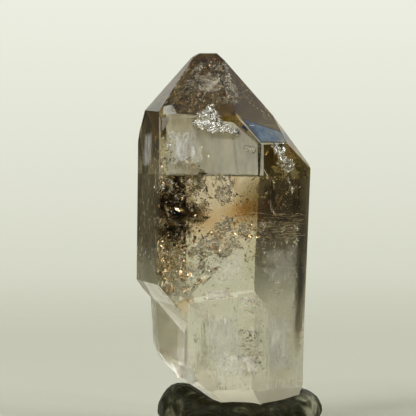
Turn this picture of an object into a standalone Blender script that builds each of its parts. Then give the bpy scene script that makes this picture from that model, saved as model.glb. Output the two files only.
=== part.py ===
"""Smoky quartz scepter standing in a lump of putty.

Metres, +Z up, front towards -Y. The origin is the centre of the whole object's box, on the
flat underside of the putty. The crystal is built from flat-faced growths, each one a block
trimmed by the planes of its crystal faces, and the growths are joined into one solid.
"""
import math
from collections import namedtuple

import bmesh
import bpy
from mathutils import Vector, noise

MM = 0.001

# Crystal directions: six prism faces 60 degrees apart, named as seen from the front.
FRONT_AZIMUTH = -14.0
FRONT, RIGHT, BACK_RIGHT, BACK, BACK_LEFT, LEFT = [FRONT_AZIMUTH + 60.0 * k for k in range(6)]
# A rhombohedron face of quartz leans so that its normal rises 38.2 degrees from level.
RHOMB = 38.2
UP = 90.0
DOWN = -90.0

# The crystal's upright axis, from the centre of the object's box.
AXIS_X = -3.99 * MM
AXIS_Y = -1.67 * MM

# Heights in millimetres above the flat underside.
TIP = 64.7
HEAD_FLOOR = 14.6
BLOCK_FLOOR = 4.7
SIDE_FLOOR = 8.4

# Gap between the crystal and the putty around it.
GAP = 0.3
# Half the size of the block that each growth is cut from.
ROUGH_BLOCK = 90.0

# A face: the way it looks (azimuth, tilt above level) and where it lies: its distance from
# the crystal's axis at one height, in millimetres.
Face = namedtuple("Face", "azimuth tilt distance height")

HEAD = [
    # Prism faces. The right side narrows a little towards the foot.
    Face(FRONT, 0.0, 10.34, 30.0),
    Face(LEFT, 0.8, 10.13, 25.4),
    Face(RIGHT, -2.9, 15.47, 44.8),
    Face(BACK_RIGHT, -1.6, 16.0, 44.8),
    Face(BACK, 0.0, 15.54, 30.0),
    Face(BACK_LEFT, 0.0, 12.19, 30.0),
    # Pyramid faces, each through its shoulder on the prism face below it.
    Face(FRONT - 3.0, RHOMB, 10.34, 53.8),
    Face(LEFT, RHOMB, 9.72, 54.9),
    Face(RIGHT, RHOMB, 15.47, 49.8),
    Face(BACK_RIGHT, RHOMB, 16.0, 45.8),
    Face(BACK, RHOMB, 15.54, 43.4),
    Face(BACK_LEFT, RHOMB, 12.19, 50.1),
    # Narrow steep facets on the left and right shoulders.
    Face(LEFT - 30.0, 13.0, 12.79, 48.9),
    Face(RIGHT + 30.0, 33.0, 18.11, 45.3),
    # Blunt, chipped tip.
    Face(0.0, UP, 0.0, TIP),
    Face(62.0, 56.0, 3.9, 63.9),
    Face(-150.0, 62.0, 0.9, 64.3),
    Face(LEFT, 60.0, 1.4, TIP),
    # Undersides that overhang the stem.
    Face(LEFT, -RHOMB, 10.13, 25.6),
    Face(BACK_LEFT, -RHOMB, 12.19, 24.0),
    Face(BACK, -RHOMB, 15.54, 17.2),
    Face(FRONT + 7.0, -RHOMB, 10.34, 23.6),
    Face(0.0, DOWN, 0.0, HEAD_FLOOR),
]

# The pale stem block under the head, narrower than the head in front and at the left.
BLOCK = [
    Face(FRONT, 0.0, 9.6, 20.0),
    Face(LEFT - 13.0, 0.0, 3.6, 20.0),
    Face(RIGHT, -2.6, 14.31, 22.3),
    Face(BACK_RIGHT, -0.5, 15.3, 22.3),
    Face(BACK, 0.0, 14.3, 20.0),
    Face(BACK_LEFT, 0.0, 8.0, 20.0),
    Face(0.0, UP, 0.0, 32.6),
    # Rounded, broken foot.
    Face(LEFT - 6.0, -24.0, 3.6, 10.6),
    Face(LEFT, -50.0, 1.9, 7.6),
    Face(RIGHT + 30.0, -30.0, 16.65, 7.9),
    Face(RIGHT + 24.0, -58.0, 14.4, 5.7),
    Face(FRONT + 4.0, -35.0, 9.27, 7.0),
    Face(FRONT - 12.0, -62.0, 7.7, 5.1),
    Face(BACK, -35.0, 14.3, 8.6),
    Face(BACK_LEFT, -45.0, 8.0, 10.0),
    Face(0.0, DOWN, 0.0, BLOCK_FLOOR),
]

# A low step of the head's front face, above the block at the right.
FRONT_STEP = [
    Face(FRONT, 0.0, 9.95, 20.0),
    Face(FRONT - 90.0, 0.0, -8.0, 20.0),
    Face(RIGHT, -2.6, 14.2, 22.3),
    Face(BACK, 0.0, -5.0, 20.0),
    Face(0.0, UP, 0.0, 32.0),
    Face(FRONT - 22.0, -RHOMB, 6.15, 22.5),
    Face(0.0, DOWN, 0.0, 18.0),
]

# The smaller crystal that grew beside the stem, under the head's left overhang.
SIDE_CRYSTAL = [
    Face(FRONT, 0.0, -1.37, 20.0),
    Face(LEFT, -4.0, 7.2, 18.9),
    Face(BACK_LEFT, 0.0, 11.33, 18.9),
    Face(BACK, 0.0, 12.6, 18.9),
    Face(90.0, 0.0, 1.72, 18.9),
    Face(0.0, UP, 0.0, 28.8),
    # Its lower end: a small steep facet, then sloping end faces.
    Face(LEFT - 10.0, -21.0, 8.62, 15.3),
    Face(FRONT - 18.0, -RHOMB, 3.1, 15.2),
    Face(LEFT, -RHOMB, 7.0, 13.4),
    Face(BACK_LEFT, -RHOMB, 11.33, 13.4),
    Face(BACK, -RHOMB, 12.6, 13.4),
    Face(0.0, DOWN, 0.0, SIDE_FLOOR),
]

# Putty: half width, half depth, offset of its middle and the heights of its rim.
PUTTY_HALF_WIDTH = 13.6
PUTTY_HALF_DEPTH = 13.9
PUTTY_CENTRE = (1.61, 0.35)
PUTTY_WAIST = 3.2
PUTTY_DISH = 4.6
RIM_FRONT = 5.9
RIM_SEGMENTS = 56
RIM_RINGS = 28


def new_collection(name):
    collection = bpy.data.collections.new(name)
    bpy.context.scene.collection.children.link(collection)
    return collection


def add_object(name, mesh, collection):
    obj = bpy.data.objects.new(name, mesh)
    collection.objects.link(obj)
    return obj


def direction(azimuth, tilt):
    """Unit vector: azimuth 0 looks to -Y and 90 to +X, tilt is degrees above level."""
    turn = math.radians(azimuth)
    rise = math.radians(tilt)
    return Vector((math.cos(rise) * math.sin(turn), -math.cos(rise) * math.cos(turn), math.sin(rise)))


def growth(name, faces, collection, grow=0.0):
    """One flat-faced growth: a block trimmed by its crystal faces, all moved out by grow."""
    axis = Vector((AXIS_X, AXIS_Y, 0.0))
    bm = bmesh.new()
    bmesh.ops.create_cube(bm, size=2.0 * ROUGH_BLOCK * MM)
    for face in faces:
        normal = direction(face.azimuth, face.tilt)
        point = axis + direction(face.azimuth, 0.0) * face.distance * MM
        point.z = face.height * MM
        point = point + normal * grow * MM
        cut = bmesh.ops.bisect_plane(
            bm,
            geom=bm.verts[:] + bm.edges[:] + bm.faces[:],
            plane_co=point,
            plane_no=normal,
            clear_outer=True,
        )
        rim = [item for item in cut["geom_cut"] if isinstance(item, bmesh.types.BMEdge)]
        if rim:
            bmesh.ops.edgeloop_fill(bm, edges=rim)
    bmesh.ops.recalc_face_normals(bm, faces=bm.faces[:])
    mesh = bpy.data.meshes.new(name)
    bm.to_mesh(mesh)
    bm.free()
    return add_object(name, mesh, collection)


def boolean(obj, operation, other):
    modifier = obj.modifiers.new(operation.lower() + "_" + other.name, "BOOLEAN")
    modifier.operation = operation
    modifier.solver = "EXACT"
    modifier.object = other


def as_guide(obj):
    obj.hide_render = True
    obj.display_type = "WIRE"
    return obj


def smoothstep(value):
    value = min(max(value, 0.0), 1.0)
    return value * value * (3.0 - 2.0 * value)


def lobe(azimuth, middle, half_width):
    """1 in the middle of a lobe, falling smoothly to 0 at its sides."""
    away = abs((azimuth - middle + 180.0) % 360.0 - 180.0)
    return smoothstep(1.0 - away / half_width)


def rim_height(azimuth):
    """Height of the putty's crest around the crystal, high at the left and the right."""
    left = 2.5 * lobe(azimuth, -72.0, 48.0)
    right = 1.3 * lobe(azimuth, 84.0, 50.0)
    back = 0.8 * lobe(azimuth, 180.0, 80.0)
    return RIM_FRONT + left + right + back


def rim_reach(azimuth):
    """How far the putty bulges out, as a factor: thumbed lobes with dents between them."""
    lobes = 0.05 * lobe(azimuth, 95.0, 45.0) + 0.04 * lobe(azimuth, -70.0, 40.0)
    dents = 0.05 * lobe(azimuth, -25.0, 30.0) + 0.06 * lobe(azimuth, 150.0, 35.0)
    return 1.0 + lobes - dents


def crest_place(azimuth):
    """Where the crest lies between the middle and the outside, as a factor."""
    return 0.87 - 0.13 * abs(math.sin(math.radians(azimuth)))


def putty_mesh(name):
    """A squashed lump: a sphere pushed into a low bowl with a lobed rim and a flat foot."""
    foot_depth = 1.2
    bm = bmesh.new()
    bmesh.ops.create_uvsphere(bm, u_segments=RIM_SEGMENTS, v_segments=RIM_RINGS, radius=1.0)
    for vert in bm.verts:
        out = math.hypot(vert.co.x, vert.co.y)
        azimuth = math.degrees(math.atan2(vert.co.x, -vert.co.y))
        crest = rim_height(azimuth)
        crest_at = crest_place(azimuth)
        if vert.co.z >= 0.0:
            if out > crest_at:
                roll = (out - crest_at) / (1.0 - crest_at)
                height = PUTTY_WAIST + (crest - PUTTY_WAIST) * math.sqrt(max(0.0, 1.0 - roll * roll))
            else:
                height = PUTTY_DISH + (crest - PUTTY_DISH) * smoothstep(out / crest_at)
        else:
            height = PUTTY_WAIST - (PUTTY_WAIST + foot_depth) * math.sqrt(max(0.0, 1.0 - out * out))
        reach = rim_reach(azimuth)
        place = Vector((vert.co.x * PUTTY_HALF_WIDTH * reach, vert.co.y * PUTTY_HALF_DEPTH * reach, height))
        lumps = noise.noise(place * 0.22) * 0.55 + noise.noise(place * 0.6) * 0.18
        place += Vector((vert.co.x, vert.co.y, 0.5 * vert.co.z)) * lumps
        place += Vector((PUTTY_CENTRE[0], PUTTY_CENTRE[1], 0.0))
        vert.co = place * MM
    foot = bmesh.ops.bisect_plane(
        bm,
        geom=bm.verts[:] + bm.edges[:] + bm.faces[:],
        plane_co=(0.0, 0.0, 0.0),
        plane_no=(0.0, 0.0, -1.0),
        clear_outer=True,
    )
    rim = [item for item in foot["geom_cut"] if isinstance(item, bmesh.types.BMEdge)]
    bmesh.ops.edgeloop_fill(bm, edges=rim)
    bmesh.ops.recalc_face_normals(bm, faces=bm.faces[:])
    mesh = bpy.data.meshes.new(name)
    bm.to_mesh(mesh)
    bm.free()
    mesh.shade_smooth()
    mesh.set_sharp_from_angle(angle=math.radians(50.0))
    return mesh


def principled(name, colour, roughness, metallic=0.0):
    material = bpy.data.materials.new(name)
    material.use_nodes = True
    shader = material.node_tree.nodes["Principled BSDF"]
    shader.inputs["Base Color"].default_value = (*colour, 1.0)
    shader.inputs["Roughness"].default_value = roughness
    shader.inputs["Metallic"].default_value = metallic
    return material


def quartz_material():
    material = principled("smoky_quartz", (0.62, 0.54, 0.40), 0.03)
    shader = material.node_tree.nodes["Principled BSDF"]
    shader.inputs["Transmission Weight"].default_value = 1.0
    shader.inputs["IOR"].default_value = 1.544
    return material


def build_crystal(parts, cutters):
    crystal = growth("quartz_scepter", HEAD, parts)
    joined = [
        growth("stem_block", BLOCK, cutters),
        growth("front_step", FRONT_STEP, cutters),
        growth("side_crystal", SIDE_CRYSTAL, cutters),
    ]
    for other in joined:
        boolean(crystal, "UNION", as_guide(other))
    crystal.data.materials.append(quartz_material())
    return crystal


def build_putty(parts, cutters):
    putty = add_object("mounting_putty", putty_mesh("mounting_putty"), parts)
    for name, faces in (("block_print", BLOCK), ("side_print", SIDE_CRYSTAL)):
        boolean(putty, "DIFFERENCE", as_guide(growth(name, faces, cutters, grow=GAP)))
    putty.data.materials.append(principled("putty", (0.045, 0.045, 0.03), 0.55))
    return putty


def main():
    for obj in list(bpy.data.objects):
        bpy.data.objects.remove(obj, do_unlink=True)
    parts = new_collection("smoky_quartz_scepter")
    cutters = new_collection("cutters")
    build_crystal(parts, cutters)
    build_putty(parts, cutters)


main()
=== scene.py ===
import math
import random

import bmesh
import bpy
from mathutils import Matrix, Vector, noise
from mathutils.bvhtree import BVHTree


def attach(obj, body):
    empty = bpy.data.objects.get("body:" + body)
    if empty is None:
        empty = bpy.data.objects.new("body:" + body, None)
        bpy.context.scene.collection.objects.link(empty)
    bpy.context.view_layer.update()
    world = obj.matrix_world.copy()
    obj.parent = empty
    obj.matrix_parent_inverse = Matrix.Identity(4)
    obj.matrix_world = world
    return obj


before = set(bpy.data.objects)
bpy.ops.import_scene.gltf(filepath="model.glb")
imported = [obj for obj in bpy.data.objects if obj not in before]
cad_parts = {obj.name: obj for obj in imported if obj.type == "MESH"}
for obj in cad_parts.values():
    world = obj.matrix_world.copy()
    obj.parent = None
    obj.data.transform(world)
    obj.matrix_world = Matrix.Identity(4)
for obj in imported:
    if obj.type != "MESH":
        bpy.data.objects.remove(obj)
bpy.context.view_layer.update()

MM = 0.001
ROOT = "root"

# One picture element of the photo at the crystal, in metres, and where the origin lies in the
# photo's 416 by 416 frame.
PIXEL = 0.0001717
ORIGIN_COLUMN = 229.27
ORIGIN_ROW = 430.0
PHOTO_SIZE = 416.0
MIDDLE = 208.0
VIEW_DOWN = math.radians(3.0)
VIEW_DISTANCE = 0.62
SENSOR = 36.0

QUARTZ_IOR = 1.544

crystal = bpy.data.objects["quartz_scepter"]
putty = bpy.data.objects["mounting_putty"]


def photo_point(column, row, y=0.0):
    """The point at depth y that the photo shows at this column and row, seen level."""
    return Vector(((column - ORIGIN_COLUMN) * PIXEL, y, (ORIGIN_ROW - row) * PIXEL))


VIEW_BACK = Vector((0.0, -math.cos(VIEW_DOWN), math.sin(VIEW_DOWN)))
VIEW_UP = Vector((0.0, math.sin(VIEW_DOWN), math.cos(VIEW_DOWN)))
EYE = photo_point(MIDDLE, MIDDLE) + VIEW_BACK * VIEW_DISTANCE


def make_camera():
    data = bpy.data.cameras.new("photo_camera")
    data.sensor_width = SENSOR
    data.lens = SENSOR * VIEW_DISTANCE / (PHOTO_SIZE * PIXEL)
    data.clip_start = 0.01
    data.clip_end = 20.0
    camera = bpy.data.objects.new("photo_camera", data)
    bpy.context.scene.collection.objects.link(camera)
    camera.location = EYE
    camera.rotation_euler = (math.pi / 2.0 - VIEW_DOWN, 0.0, 0.0)
    bpy.context.scene.camera = camera


class Nodes:
    """Short calls to build a node tree."""

    def __init__(self, tree):
        self.tree = tree
        self.tree.nodes.clear()

    def add(self, kind, **settings):
        node = self.tree.nodes.new(kind)
        for key, value in settings.items():
            setattr(node, key, value)
        return node

    def link(self, output, target):
        self.tree.links.new(output, target)

    def feed(self, target, value):
        if isinstance(value, bpy.types.NodeSocket):
            self.link(value, target)
        else:
            target.default_value = value

    def math(self, operation, *values, clamp=False):
        node = self.add("ShaderNodeMath", operation=operation, use_clamp=clamp)
        for target, value in zip(node.inputs, values):
            self.feed(target, value)
        return node.outputs[0]

    def ramp(self, value, stops, interpolation="LINEAR"):
        node = self.add("ShaderNodeValToRGB")
        node.color_ramp.interpolation = interpolation
        elements = node.color_ramp.elements
        while len(elements) > 1:
            elements.remove(elements[-1])
        elements[0].position = stops[0][0]
        elements[0].color = colour4(stops[0][1])
        for position, colour in stops[1:]:
            elements.new(position).color = colour4(colour)
        self.link(value, node.inputs[0])
        return node.outputs[0]

    def mix(self, factor, first, second, blend="MIX"):
        node = self.add("ShaderNodeMix", data_type="RGBA", blend_type=blend)
        self.feed(node.inputs[0], factor)
        self.feed(node.inputs[6], colour4(first) if isinstance(first, (tuple, float)) else first)
        self.feed(node.inputs[7], colour4(second) if isinstance(second, (tuple, float)) else second)
        return node.outputs[2]


def colour4(colour):
    if isinstance(colour, float):
        colour = (colour, colour, colour)
    return (colour[0], colour[1], colour[2], 1.0)


def make_world():
    """A pale studio all round: a bright sweep behind, dimmer sides, a soft light overhead."""
    world = bpy.data.worlds.new("studio")
    bpy.context.scene.world = world
    world.use_nodes = True
    n = Nodes(world.node_tree)
    place = n.add("ShaderNodeTexCoord")
    split = n.add("ShaderNodeSeparateXYZ")
    n.link(place.outputs["Generated"], split.inputs[0])
    x, y, z = split.outputs
    rise = n.math("ARCSINE", z)
    height = n.math("MULTIPLY_ADD", rise, 1.0 / math.pi, 0.5)
    # Elevation: -90 degrees is 0 and +90 degrees is 1.
    level = lambda degrees: 0.5 + degrees / 180.0
    upright = n.ramp(height, [
        (level(-90.0), (0.46, 0.455, 0.40)),
        (level(-25.0), (0.52, 0.515, 0.44)),
        (level(-6.3), (0.565, 0.572, 0.462)),
        (level(-4.4), (0.65, 0.66, 0.545)),
        (level(-3.0), (0.715, 0.725, 0.615)),
        (level(-1.5), (0.775, 0.79, 0.68)),
        (level(0.3), (0.835, 0.855, 0.75)),
        (level(8.0), (0.92, 0.93, 0.84)),
        (level(30.0), (0.80, 0.80, 0.74)),
        (level(50.0), (0.95, 0.95, 0.90)),
        (level(62.0), (0.45, 0.45, 0.42)),
        (level(90.0), (0.40, 0.40, 0.38)),
    ])
    turn = n.math("ARCTAN2", x, y)
    away = n.math("MULTIPLY", n.math("ABSOLUTE", turn), 1.0 / math.pi)
    # Beyond the bright sweep the room is dim, but only in a band around eye level.
    round_about = n.ramp(away, [
        (0.0, 1.0),
        (17.0 / 180.0, 1.0),
        (30.0 / 180.0, (0.15, 0.135, 0.10)),
        (50.0 / 180.0, (0.09, 0.078, 0.053)),
        (110.0 / 180.0, (0.07, 0.06, 0.04)),
        (1.0, (0.11, 0.10, 0.075)),
    ])
    near_level = n.ramp(height, [
        (level(-13.0), 0.0),
        (level(-6.0), 1.0),
        (level(6.0), 1.0),
        (level(14.0), 0.45),
        (level(30.0), 0.35),
        (level(50.0), 0.0),
    ])
    sides = n.mix(near_level, 1.0, round_about)
    colour = n.mix(1.0, upright, sides, blend="MULTIPLY")
    background = n.add("ShaderNodeBackground")
    out = n.add("ShaderNodeOutputWorld")
    n.link(colour, background.inputs[0])
    n.link(background.outputs[0], out.inputs[0])


def make_floor():
    """A pale floor that fades into the surroundings before its edge."""
    bm = bmesh.new()
    bmesh.ops.create_circle(bm, cap_ends=True, segments=96, radius=0.42)
    mesh = bpy.data.meshes.new("floor")
    bm.to_mesh(mesh)
    bm.free()
    floor = bpy.data.objects.new("floor", mesh)
    floor.location.z = -0.0001
    bpy.context.scene.collection.objects.link(floor)
    material = bpy.data.materials.new("floor")
    material.use_nodes = True
    n = Nodes(material.node_tree)
    place = n.add("ShaderNodeTexCoord")
    reach = n.add("ShaderNodeVectorMath", operation="LENGTH")
    n.link(place.outputs["Object"], reach.inputs[0])
    fade = n.ramp(n.math("MULTIPLY", reach.outputs["Value"], 1.0 / 0.42), [(0.12, 1.0), (0.98, 0.0)], "EASE")
    paper = n.add("ShaderNodeTexNoise")
    paper.inputs["Scale"].default_value = 6.0
    n.link(place.outputs["Object"], paper.inputs["Vector"])
    diffuse = n.add("ShaderNodeBsdfDiffuse")
    n.link(n.ramp(paper.outputs["Fac"], [(0.3, (0.34, 0.345, 0.285)), (0.7, (0.365, 0.37, 0.305))]), diffuse.inputs["Color"])
    clear = n.add("ShaderNodeBsdfTransparent")
    mix = n.add("ShaderNodeMixShader")
    n.link(fade, mix.inputs[0])
    n.link(clear.outputs[0], mix.inputs[1])
    n.link(diffuse.outputs[0], mix.inputs[2])
    out = n.add("ShaderNodeOutputMaterial")
    n.link(mix.outputs[0], out.inputs["Surface"])
    mesh.materials.append(material)


def area_light(name, place, target, size, power, colour=(1.0, 1.0, 1.0)):
    data = bpy.data.lights.new(name, "AREA")
    data.shape = "RECTANGLE"
    data.size, data.size_y = size
    data.energy = power
    data.color = colour
    light = bpy.data.objects.new(name, data)
    bpy.context.scene.collection.objects.link(light)
    light.location = place
    aim = Vector(target) - Vector(place)
    light.rotation_euler = aim.to_track_quat("-Z", "Y").to_euler()


def absorbing(n, absorb):
    """Volume absorption with the given loss per metre in red, green and blue."""
    density = max(absorb) * 1.02
    node = n.add("ShaderNodeVolumeAbsorption")
    node.inputs["Color"].default_value = tuple(1.0 - value / density for value in absorb) + (1.0,)
    node.inputs["Density"].default_value = density
    return node


def clear_material(name, absorb, ior=QUARTZ_IOR, roughness=0.0):
    material = bpy.data.materials.new(name)
    material.use_nodes = True
    n = Nodes(material.node_tree)
    shader = n.add("ShaderNodeBsdfPrincipled")
    shader.inputs["Base Color"].default_value = (1.0, 1.0, 1.0, 1.0)
    shader.inputs["Roughness"].default_value = roughness
    shader.inputs["IOR"].default_value = ior
    shader.inputs["Transmission Weight"].default_value = 1.0
    out = n.add("ShaderNodeOutputMaterial")
    n.link(shader.outputs[0], out.inputs["Surface"])
    if absorb:
        n.link(absorbing(n, absorb).outputs[0], out.inputs["Volume"])
    return material


def crystal_material():
    """Clear smoky quartz with glossy faces in front and an etched back and foot of the stem."""
    material = clear_material("smoky_quartz", (12.0, 13.5, 22.5))
    n = Nodes.__new__(Nodes)
    n.tree = material.node_tree
    shader = n.tree.nodes["Principled BSDF"]
    place = n.add("ShaderNodeTexCoord")
    split = n.add("ShaderNodeSeparateXYZ")
    n.link(place.outputs["Object"], split.inputs[0])
    x, y, z = split.outputs
    at_back = n.math("MULTIPLY_ADD", y, 1.0 / (3.0 * MM), 0.0, clamp=True)
    at_low = n.math("MULTIPLY_ADD", z, -1.0 / (12.0 * MM), 34.0 / 12.0, clamp=True)
    at_stem = n.math("MULTIPLY_ADD", z, -1.0 / (1.6 * MM), 23.8 / 1.6, clamp=True)
    at_foot = n.math("MULTIPLY_ADD", z, -1.0 / (2.5 * MM), 9.0 / 2.5, clamp=True)
    etched = n.math("MAXIMUM", n.math("MULTIPLY", at_back, at_low), at_foot)
    etched = n.math("MAXIMUM", etched, n.math("MULTIPLY", at_stem, 0.26))
    # The small crystal at the left is clear and smooth.
    beside = n.math("MULTIPLY_ADD", x, 1.0 / (0.8 * MM), 8.6 / 0.8, clamp=True)
    etched = n.math("MULTIPLY", etched, n.math("MAXIMUM", beside, 0.45))
    cloud = n.add("ShaderNodeTexNoise")
    cloud.inputs["Scale"].default_value = 260.0
    cloud.inputs["Detail"].default_value = 4.0
    n.link(place.outputs["Object"], cloud.inputs["Vector"])
    patchy = n.math("MULTIPLY_ADD", cloud.outputs["Fac"], 0.30, 0.42)
    n.link(n.math("MULTIPLY", etched, patchy), shader.inputs["Roughness"])
    # Fine upright streaks, strong on the stem and faint on the head.
    grow = n.add("ShaderNodeMapping")
    grow.inputs["Scale"].default_value = (1.0, 1.0, 0.22)
    n.link(place.outputs["Object"], grow.inputs["Vector"])
    streaks = n.add("ShaderNodeTexNoise")
    streaks.inputs["Scale"].default_value = 1100.0
    streaks.inputs["Detail"].default_value = 5.0
    n.link(grow.outputs[0], streaks.inputs["Vector"])
    bump = n.add("ShaderNodeBump")
    bump.inputs["Distance"].default_value = 0.00016
    n.link(n.math("MULTIPLY_ADD", n.math("MULTIPLY", at_stem, beside), 0.85, 0.03), bump.inputs["Strength"])
    n.link(streaks.outputs["Fac"], bump.inputs["Height"])
    n.link(bump.outputs[0], shader.inputs["Normal"])
    return material


def putty_material():
    """Dark grey-green putty, slightly glossy, with paler smears on its right lobe and painted light on the front of its
    left lobe, which is made lighter.
    """
    material = bpy.data.materials.new("kneaded_putty")
    material.use_nodes = True
    n = Nodes(material.node_tree)
    place = n.add("ShaderNodeTexCoord")
    split = n.add("ShaderNodeSeparateXYZ")
    n.link(place.outputs["Object"], split.inputs[0])
    smear = n.add("ShaderNodeTexNoise")
    smear.inputs["Scale"].default_value = 190.0
    smear.inputs["Detail"].default_value = 6.0
    smear.inputs["Distortion"].default_value = 2.2
    n.link(place.outputs["Object"], smear.inputs["Vector"])
    right = n.math("MULTIPLY_ADD", split.outputs[0], 1.0 / (4.0 * MM), -9.6 / 4.0, clamp=True)
    front = n.math("MULTIPLY_ADD", split.outputs[1], -1.0 / (6.0 * MM), 0.3, clamp=True)
    # Painted light and shade: the front of the left lobe is made lighter where the light falls on it, and the whole
    # putty a little darker, so that its middle under the crystal stays dark as painted shade.
    left = n.math("MULTIPLY_ADD", split.outputs[0], -1.0 / (3.0 * MM), -4.0 / 3.0, clamp=True)
    pale = n.math("MULTIPLY_ADD", n.math("MULTIPLY", right, front), 0.32, -0.03)
    pale = n.math("MULTIPLY_ADD", n.math("MULTIPLY", left, front), 0.13, pale)
    shade = n.math("ADD", pale, smear.outputs["Fac"])
    shader = n.add("ShaderNodeBsdfPrincipled")
    n.link(n.ramp(shade, [
        (0.30, (0.005, 0.0045, 0.001)),
        (0.52, (0.009, 0.0085, 0.003)),
        (0.64, (0.018, 0.017, 0.007)),
        (0.76, (0.07, 0.068, 0.04)),
        (0.88, (0.22, 0.22, 0.15)),
    ]), shader.inputs["Base Color"])
    shader.inputs["IOR"].default_value = 1.30
    shader.inputs["Specular IOR Level"].default_value = 0.10
    n.link(n.ramp(smear.outputs["Fac"], [(0.3, 0.38), (0.8, 0.66)]), shader.inputs["Roughness"])
    folds = n.add("ShaderNodeTexNoise")
    folds.inputs["Scale"].default_value = 260.0
    folds.inputs["Detail"].default_value = 3.0
    folds.inputs["Distortion"].default_value = 1.5
    n.link(place.outputs["Object"], folds.inputs["Vector"])
    fine = n.add("ShaderNodeTexNoise")
    fine.inputs["Scale"].default_value = 1500.0
    fine.inputs["Detail"].default_value = 5.0
    n.link(place.outputs["Object"], fine.inputs["Vector"])
    relief = n.math("MULTIPLY_ADD", fine.outputs["Fac"], 0.16, folds.outputs["Fac"])
    bump = n.add("ShaderNodeBump")
    bump.inputs["Strength"].default_value = 0.75
    bump.inputs["Distance"].default_value = 0.0009
    n.link(relief, bump.inputs["Height"])
    n.link(bump.outputs[0], shader.inputs["Normal"])
    out = n.add("ShaderNodeOutputMaterial")
    n.link(shader.outputs[0], out.inputs["Surface"])
    return material


def shade_smooth(obj, sharp_from):
    """Smooth shading, except over edges sharper than the given angle."""
    group = bpy.data.node_groups.new("shade_smooth", "GeometryNodeTree")
    group.interface.new_socket("Geometry", in_out="INPUT", socket_type="NodeSocketGeometry")
    group.interface.new_socket("Geometry", in_out="OUTPUT", socket_type="NodeSocketGeometry")
    n = Nodes(group)
    source = n.add("NodeGroupInput")
    result = n.add("NodeGroupOutput")
    faces = n.add("GeometryNodeSetShadeSmooth")
    edges = n.add("GeometryNodeSetShadeSmooth", domain="EDGE")
    angle = n.add("GeometryNodeInputMeshEdgeAngle")
    blunt = n.math("LESS_THAN", angle.outputs["Unsigned Angle"], sharp_from)
    n.link(source.outputs[0], faces.inputs["Geometry"])
    n.link(faces.outputs[0], edges.inputs["Geometry"])
    n.link(blunt, edges.inputs["Shade Smooth"])
    n.link(edges.outputs[0], result.inputs[0])
    modifier = obj.modifiers.new("shade_smooth", "NODES")
    modifier.node_group = group


SKIN = BVHTree.FromPolygons(
    [vert.co.copy() for vert in crystal.data.vertices],
    [tuple(face.vertices) for face in crystal.data.polygons],
)
NUDGE = 1e-6


def sight(column, row):
    """Where the photo's line of sight enters the crystal, which way it runs on inside it,
    and how far it runs before it meets the far side."""
    line = (Vector((1.0, 0.0, 0.0)) * (column - MIDDLE) + VIEW_UP * (MIDDLE - row)) * PIXEL
    line = (line - VIEW_BACK * VIEW_DISTANCE).normalized()
    entry, normal, index, reach = SKIN.ray_cast(EYE, line)
    if entry is None:
        return None
    if normal.dot(line) > 0.0:
        normal = -normal
    cosine = -normal.dot(line)
    ratio = 1.0 / QUARTZ_IOR
    inner = math.sqrt(1.0 - ratio * ratio * (1.0 - cosine * cosine))
    bent = (line * ratio + normal * (ratio * cosine - inner)).normalized()
    far, normal, index, reach = SKIN.ray_cast(entry + bent * NUDGE, bent)
    return entry, bent, (reach if reach else 0.0)


def inside(column, row, depth):
    """The point inside the crystal that the photo shows at this column and row, at the given
    part of the way from the near side to the far side."""
    found = sight(column, row)
    if found is None:
        return None
    entry, bent, chord = found
    return entry + bent * chord * depth


def room(point):
    """Distance from a point inside the crystal to its nearest face."""
    return SKIN.find_nearest(point)[3]


def scatter(rng, outline, count, depths):
    """Points inside the crystal, spread over an outline given in the photo's columns and rows."""
    columns = [corner[0] for corner in outline]
    rows = [corner[1] for corner in outline]
    points = []
    while len(points) < count:
        column = rng.uniform(min(columns), max(columns))
        row = rng.uniform(min(rows), max(rows))
        if not within(outline, column, row):
            continue
        point = inside(column, row, rng.uniform(*depths))
        if point is not None:
            points.append(point)
    return points


def within(outline, column, row):
    crossed = False
    previous = outline[-1]
    for corner in outline:
        if (corner[1] > row) != (previous[1] > row):
            slope = (previous[0] - corner[0]) / (previous[1] - corner[1])
            if column < corner[0] + slope * (row - corner[1]):
                crossed = not crossed
        previous = corner
    return crossed


def add_piece(name, bm, material, smooth=True, hollow=False):
    """A mesh as a named piece on the object. A hollow one is a space in the crystal: its
    faces look inward, so that the light meets the crystal's side of them."""
    bmesh.ops.recalc_face_normals(bm, faces=bm.faces[:])
    if hollow:
        bmesh.ops.reverse_faces(bm, faces=bm.faces[:])
    mesh = bpy.data.meshes.new(name)
    bm.to_mesh(mesh)
    bm.free()
    if smooth:
        mesh.shade_smooth()
    else:
        mesh.shade_flat()
    mesh.materials.append(material)
    obj = bpy.data.objects.new(name, mesh)
    bpy.context.scene.collection.objects.link(obj)
    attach(obj, ROOT)
    return obj


def any_turn(rng):
    return Matrix.Rotation(rng.uniform(0.0, math.tau), 3, random_direction(rng))


def random_direction(rng):
    z = rng.uniform(-1.0, 1.0)
    turn = rng.uniform(0.0, math.tau)
    flat = math.sqrt(1.0 - z * z)
    return Vector((flat * math.cos(turn), flat * math.sin(turn), z))


def facing(normal):
    """A turn that brings +Z to the given direction."""
    return Vector(normal).normalized().to_track_quat("Z", "Y").to_matrix()


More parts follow.
